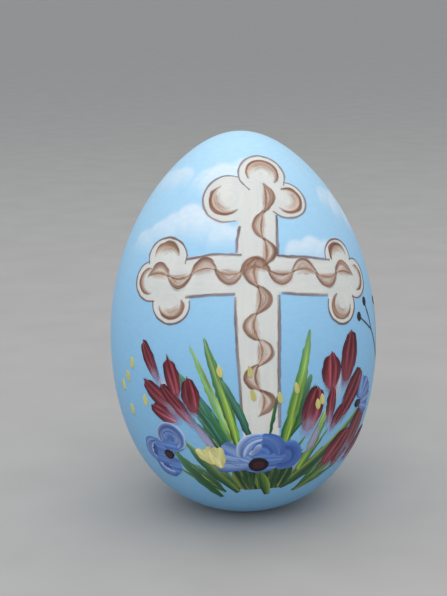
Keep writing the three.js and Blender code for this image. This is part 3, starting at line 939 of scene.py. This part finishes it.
GRASS_BLADES = {
    "blade_left_pale": [((-28, 52), (-12, 28), 2, 0.5, 3, (LIME, MIST_GREEN, GRASS))],
    "blade_left_tall": [((-22, 54), (-9, 26), 3, 0.5, 2, (LEAF, LIME, FOREST))],
    "leaf_left_teal": [((-34, 45), (-13, 26), 4, 0.5, 1, (TEAL, FOREST, TEAL))],
    "blade_cross_left": [((-15, 44), (-3, 27), 2, 0.5, 3, (FOREST, TEAL, DEEP_GREEN))],
    "blade_cross_right": [((8, 41), (4, 28), 1, 0, 3, (FOREST, FOREST, FOREST))],
    "blade_right_tall": [
        ((22, 44), (10, 27), 3.5, 0, 2, (FOREST, DEEP_GREEN, FOREST)),
        ((22, 55), (11, 27), 3, 0, 3, (GRASS, LIME, LEAF)),
    ],
    "blade_right_low": [((33, 37), (20, 18), 2.5, 0, 2, (LEAF, GRASS, LIME))],
    "leaf_right_dark": [((52, 31), (12, 13), 3, 0.5, 3, (DEEP_GREEN, FOREST, OLIVE))],
    "leaf_right_olive": [((50, 24), (21, 11), 2, 0.5, 2, (OLIVE, LEAF, FOREST))],
    "leaf_low_left": [((-40, 24), (-20, 10), 3, -0.5, 2, (FOREST, DEEP_GREEN, FOREST))],
    "leaf_low_middle": [((-33, 27), (-10, 12), 3, -0.5, 2, (OLIVE, FOREST, DEEP_GREEN))],
}
LIGHT_GREENS = ("blade_left_pale", "blade_left_tall", "blade_right_tall", "blade_right_low",
                "leaf_right_olive")

# Fans of fine blades: root, reach, first and last direction in degrees, how many, and colours.
FANS = {
    "leaf_left_teal": ((-14, 24), 17, 105, 135, 4, (TEAL, FOREST, DEEP_GREEN)),
    "leaf_low_left": ((-17, 12), 15, 125, 155, 4, (FOREST, DEEP_GREEN, OLIVE)),
    "leaf_low_middle": ((-9, 13), 15, 120, 150, 4, (OLIVE, FOREST, DEEP_GREEN)),
    "blade_right_tall": ((11, 27), 17, 70, 50, 3, (FOREST, LEAF, FOREST)),
    "leaf_right_dark": ((14, 13), 21, 62, 25, 6, (FOREST, DEEP_GREEN, OLIVE)),
    "leaf_right_olive": ((22, 11), 16, 60, 20, 4, (OLIVE, LEAF, DEEP_GREEN)),
}
FINE_BLADE = 1.5  # width
SHORTER = 0.75  # every second blade of a fan has this share of its reach


def fan_of_blades(root, reach, first, last, count, colours):
    """Fine blades round one root, every second one shorter."""
    strokes = []
    for number, degrees in enumerate(np.linspace(first, last, count)):
        tip = polar(*root, reach * (1 if number % 2 else SHORTER), degrees)
        strokes.append((blade(*colours, tip=MIST_GREEN, layer=1), drawn(tip, root, FINE_BLADE)))
    return strokes


def make_grass():
    for name, blades in GRASS_BLADES.items():
        slot = "grass_paint" if name in LIGHT_GREENS else "forest_paint"
        strokes = [(blade(*colours, tip=MIST_GREEN, layer=layer), drawn(tip, root, width, bow))
                   for tip, root, width, bow, layer, colours in blades]
        if name in FANS:
            strokes = fan_of_blades(*FANS[name]) + strokes
        painted(name, slot, strokes)
    dark = blade(FOREST, DEEP_GREEN, OLIVE, tip_cover=0.7, layer=3)
    tuft = fan_of_blades((-6, 17), 15, 95, 135, 5, (FOREST, DEEP_GREEN, OLIVE))
    tuft += fan_of_blades((8, 17), 14, 85, 35, 6, (OLIVE, DEEP_GREEN, FOREST))
    tuft += [(dark, drawn((azimuth, 20), (azimuth * 0.6 + 2, 13), 3)) for azimuth in range(-12, 20, 4)]
    stem = blade(OLIVE, LEAF, DEEP_GREEN, tip_cover=0.7, layer=4)
    painted("tuft_centre", "forest_paint", tuft + [(stem, drawn((1, 19), (6, 11), 2.5))])


# ---- Red flowers: tip, base, width, and the colour each petal fades to ----

LUPINS = {
    "lupin_left": [
        ((-51, 51), (-43, 42), 3, LILAC),
        ((-38, 48), (-34, 39), 3.5, PINK),
        ((-50, 41), (-34, 34), 4, LILAC),
        ((-41, 41), (-28, 32), 3, LILAC),
        ((-29, 43), (-27, 35), 4, PINK),
        ((-47, 35), (-35, 32), 3.5, LILAC),
    ],
    "lupin_right": [
        ((45, 52), (40, 40), 5, PINK),
        ((32, 48), (32, 39), 5, PINK),
        ((25, 40), (21, 29), 5, LILAC),
        ((51, 42), (39, 31), 4.5, RED),
        ((33, 39), (32, 30), 2.5, LILAC),
        ((40, 34), (34, 28), 2.5, LILAC),
    ],
    "lupin_low_right": [
        ((58, 31), (47, 18), 6, LILAC),
        ((46, 26), (35, 18), 5.5, PINK),
        ((69, 23), (54, 16), 4, LILAC),
        ((50, 21), (42, 17), 3, PINK),
    ],
}
HAZES = {
    "lupin_left": ((-44, 44), (-32, 34)),
    "lupin_right": ((38, 44), (30, 30)),
    "lupin_low_right": ((52, 26), (44, 17)),
}
LUPIN_STEMS = {"lupin_left": ((-29, 34), (-18, 24)), "lupin_right": ((28, 31), (22, 22))}


def make_lupins():
    for name, petals in LUPINS.items():
        strokes = [(wash(HAZE, 0.8, layer=4), drawn(*HAZES[name], 4))]
        if name in LUPIN_STEMS:
            strokes.append((wash(LILAC, 0.9, layer=5), drawn(*LUPIN_STEMS[name], 3)))
        strokes += [(petal(base, layer=6 + number % 2), petal_rows(tip, root, width))
                    for number, (tip, root, width, base) in enumerate(petals)]
        strokes += [(wash(base, 0.5, layer=8), drawn(between(tip, root, 0.6), between(tip, root, 1.2), width))
                    for tip, root, width, base in petals]
        painted(name, "crimson_paint", strokes)


# ---- Blue flowers ----


def cup(azimuth, height, reach, start, end, inner, outer, layer=6):
    """A petal of two curved strokes, one inside the other, bent round its own middle."""
    petal_shape = (azimuth, height, reach, reach)
    broad, tall = reach * 1.9, reach * 1.8
    ground = {**round_dab(SOFT_BLUE, tall, layer - 1), "relief": 0.02, "streak": 0.3}
    width = reach * 0.6
    return [(ground, oval(azimuth, height, broad, tall)),
            (ribbon(*inner, layer=layer, fray=0.5), arc(petal_shape, 0.3, start, end, width)),
            (ribbon(*outer, layer=layer + 1, fray=0.5), arc(petal_shape, 0.72, start, end, width))]


def rays(eye, near, far, directions, width, *colours, layer=6):
    """Petals that point away from an eye, from one distance to another."""
    return [(ribbon(*colours, layer=layer, fray=0.4), ray(eye, near, far, degrees, width))
            for degrees in directions]


LEFT_EYE = (-43, 22)
CENTRE_EYE = (0, 21)
RIGHT_EYE = (51, 32.5)
BACK_EYE = (180, 21)


def make_anemones():
    streaked = (WHITE_BLUE, BLUE, PALE_BLUE, BLUE)
    plain = (BLUE, DEEP_BLUE, BLUE)
    painted("anemone_left", "blue_paint",
            cup(-46, 19, 4.5, 190, 300, plain, (WHITE_BLUE, SOFT_BLUE, BLUE))
            + cup(-50, 22, 4.5, 90, 240, plain, streaked)
            + cup(-40, 27, 4.5, 210, -60, (PALE_BLUE, BLUE), streaked, layer=7))
    centre = rays(CENTRE_EYE, 2, 11, (150, 168, 186), 4, SOFT_BLUE, PALE_BLUE, BLUE)
    centre += cup(12, 23, 4.5, 130, -130, (BLUE, SOFT_BLUE), (SOFT_BLUE, BLUE, DEEP_BLUE))
    centre += cup(1, 24, 6.5, 90, -10, (BLUE, SOFT_BLUE), (BLUE, SOFT_BLUE, BLUE), layer=7)
    centre += cup(1, 24, 6.5, 190, 85, (WHITE_BLUE, BLUE), (WHITE_BLUE, SOFT_BLUE, WHITE_BLUE, BLUE), 7)
    painted("anemone_centre", "blue_paint", centre)
    painted("anemone_right", "blue_paint",
            rays(RIGHT_EYE, 1.5, 7.5, (80, 54, 28, 2, -25), 3.2, BLUE, PALE_BLUE, BLUE, layer=7))
    painted("eye_left", "ink_paint", eye_strokes(LEFT_EYE, 3))
    painted("eye_centre", "ink_paint", eye_strokes(CENTRE_EYE, 5))
    painted("eye_right", "ink_paint", eye_strokes(RIGHT_EYE, 2.5))


def eye_strokes(eye, broad):
    """A dark eye with a plum-coloured middle."""
    return [(round_dab(INK, broad, 10), oval(*eye, broad, broad * 0.85)),
            (round_dab(PLUM, broad * 0.6, 11), oval(*eye, broad * 0.6, broad * 0.5))]


# ---- Yellows, and the twig ----

BLOSSOMS = {"blossom_left": ((-25, 25), (-20, 21)), "blossom_low": ((-20, 26), (-17, 20))}
YELLOW_DABS = [(-59, 45), (-63, 41), (-68, 38), (-52, 36), (-63, 32), (-16, 46)]
TOUCHES = [(15, 41), (-4, 46), (-3, 40), (8, 39), (25, 36), (27, 37)]  # laid with the last dab
DAB_WIDTH = 1.4
DAB_REACH = 1.5  # half its height


def make_yellows():
    for name, (tip, base) in BLOSSOMS.items():
        fan = [(ribbon(YELLOW, PALE_YELLOW, YELLOW, layer=9), petal_rows((tip[0] + lean, tip[1]), base, 2))
               for lean in (-3, 0, 3)]
        painted(name, "yellow_paint", fan)
    for number, (azimuth, height) in enumerate(YELLOW_DABS, start=1):
        places = [(azimuth, height)] + (TOUCHES if number == len(YELLOW_DABS) else [])
        strokes = [(dab(YELLOW, 0.9),
                    drawn((across, up + DAB_REACH), (across + 1, up - DAB_REACH), DAB_WIDTH))
                   for across, up in places]
        painted(f"yellow_dab_{number}", "yellow_paint", strokes)


# Each berry, and how far down the twig its branch leaves.
BERRIES = [((59, 58), 0), ((52, 55), 0), ((76, 56), 0.6), ((85, 48), 0.85)]
TWIG_TOP = (64, 50)
TWIG_FOOT = (80, 36)


def make_twig():
    line = pencil(INK, None, (0.9, 1, 0.8), layer=2)
    strokes = [(line, drawn(TWIG_TOP, TWIG_FOOT, 0.9, swell=(0.4, 0.8)))]
    for berry, share in BERRIES:
        fork = between(TWIG_TOP, TWIG_FOOT, share)
        strokes.append((line, drawn(berry, fork, 0.7, swell=(0.4, 0.6))))
        strokes.append((round_dab(INK, 1.9, 3), oval(*berry, 2, 2.4)))
    painted("berry_twig", "ink_paint", strokes)


# ---- The far side: a smaller bouquet in the same hand ----

BACK_BLADES = [
    ((204, 44), 3.2, (FOREST, TEAL, DEEP_GREEN)),
    ((181, 50), 2.8, (GRASS, LIME, LEAF)),
    ((158, 46), 2.6, (LEAF, GRASS, LIME)),
    ((150, 27), 2.6, (OLIVE, FOREST, DEEP_GREEN)),
    ((211, 28), 2.6, (DEEP_GREEN, FOREST, OLIVE)),
]
BACK_ROOT = (180, 14)
BACK_PETALS = [(168, 49), (161, 43), (177, 44)]
BACK_PETAL_BASE = (172, 35)


def make_back():
    painted("back_grass", "grass_paint", [
        (blade(*colours, tip=MIST_GREEN, layer=1 + number % 3), drawn(tip, BACK_ROOT, width, 0.5))
        for number, (tip, width, colours) in enumerate(BACK_BLADES)])
    stem = wash(LILAC, 0.9, layer=5)
    painted("back_lupin", "crimson_paint", [(stem, drawn(BACK_PETAL_BASE, (178, 24), 2))] + [
        (petal(LILAC), petal_rows(tip, BACK_PETAL_BASE, 3.2)) for tip in BACK_PETALS])
    painted("back_anemone", "blue_paint",
            rays(BACK_EYE, 1.5, 7.5, range(18, 378, 72), 5, PALE_BLUE, WHITE_BLUE, BLUE, SOFT_BLUE))
    painted("back_eye", "ink_paint", eye_strokes(BACK_EYE, 3.4))


# ---- Stage, light and camera ----

CAMERA_AZIMUTH = -6.0
CAMERA_ELEVATION = 14.0
CAMERA_DISTANCE = 355
CAMERA_FOCAL = 81
AIM_HEIGHT = HEIGHT / 2 - 0.5
AIM_LEFT = 5
AIM_UP = 6.5
CAMERA_ROLL = 1
FLOOR_COLOUR = (0.47, 0.455, 0.44, 1)
WORLD_COLOUR = (0.9, 0.955, 1.0, 1)
WORLD_STRENGTH = 0.62


def make_camera():
    camera = bpy.data.objects.new("camera", bpy.data.cameras.new("camera"))
    bpy.context.collection.objects.link(camera)
    camera.data.sensor_width = 36.0
    camera.data.lens = CAMERA_FOCAL
    camera.data.clip_start = 0.01
    azimuth = math.radians(CAMERA_AZIMUTH)
    elevation = math.radians(CAMERA_ELEVATION)
    level = Vector((math.sin(azimuth), -math.cos(azimuth), 0)) * math.cos(elevation)
    away = level + Vector((0, 0, math.sin(elevation)))
    centre = Vector((0, 0, AIM_HEIGHT))
    place = centre + away * CAMERA_DISTANCE
    right = Vector((0, 0, 1)).cross(away).normalized()
    up = away.cross(right)
    roll = math.radians(CAMERA_ROLL)
    target = centre - right * AIM_LEFT + up * AIM_UP
    back = (place - target).normalized()
    across = up.cross(back).normalized()
    upright = back.cross(across)
    turned_across = across * math.cos(roll) - upright * math.sin(roll)
    turned_up = upright * math.cos(roll) + across * math.sin(roll)
    axes = Matrix((turned_across, turned_up, back)).transposed()
    camera.matrix_world = Matrix.Translation(place * MM) @ axes.to_4x4()
    bpy.context.scene.camera = camera


def area_light(name, place, size, power, colour):
    data = bpy.data.lights.new(name, "AREA")
    data.size = size
    data.energy = power
    data.color = colour
    light = bpy.data.objects.new(name, data)
    bpy.context.collection.objects.link(light)
    light.location = place
    light.rotation_euler = (Vector((0, 0, 0.05)) - Vector(place)).to_track_quat("-Z", "Y").to_euler()


def make_stage():
    size = 40.0
    corners = [(-size, -size, 0), (size, -size, 0), (size, size, 0), (-size, size, 0)]
    mesh = bpy.data.meshes.new("floor")
    mesh.from_pydata(corners, [], [(0, 1, 2, 3)])
    floor = bpy.data.objects.new("floor", mesh)
    bpy.context.collection.objects.link(floor)
    material, tree, principled = shader("pale_floor", 0.9)
    tone = ramp(tree, speckle(tree, object_place(tree), 40.0, 2.0), [(0.3, 0.94), (0.7, 1.0)])
    grey = node(tree, "ShaderNodeRGB")
    grey.outputs["Color"].default_value = FLOOR_COLOUR
    tree.links.new(multiply(tree, grey.outputs["Color"], tone), principled.inputs["Base Color"])
    mesh.materials.append(material)
    world = bpy.data.worlds.new("soft_studio")
    world.use_nodes = True
    background = world.node_tree.nodes["Background"]
    background.inputs["Color"].default_value = WORLD_COLOUR
    background.inputs["Strength"].default_value = WORLD_STRENGTH
    bpy.context.scene.world = world
    area_light("sky_panel", (0.0, -0.1, 0.75), 1.0, 2.9, (1.0, 0.99, 0.97))
    area_light("front_panel", (-0.2, -0.8, 0.42), 0.8, 2.3, (1.0, 0.99, 0.98))
    bpy.context.scene.view_settings.view_transform = "Standard"


make_camera()
make_stage()
make_core()
make_sky()
make_cross_field(film_material("cream_paint", 0.55, 0.035))
make_outlines()
make_crescents()
make_scrolls()
make_grass()
make_lupins()
make_anemones()
make_yellows()
make_twig()
make_back()
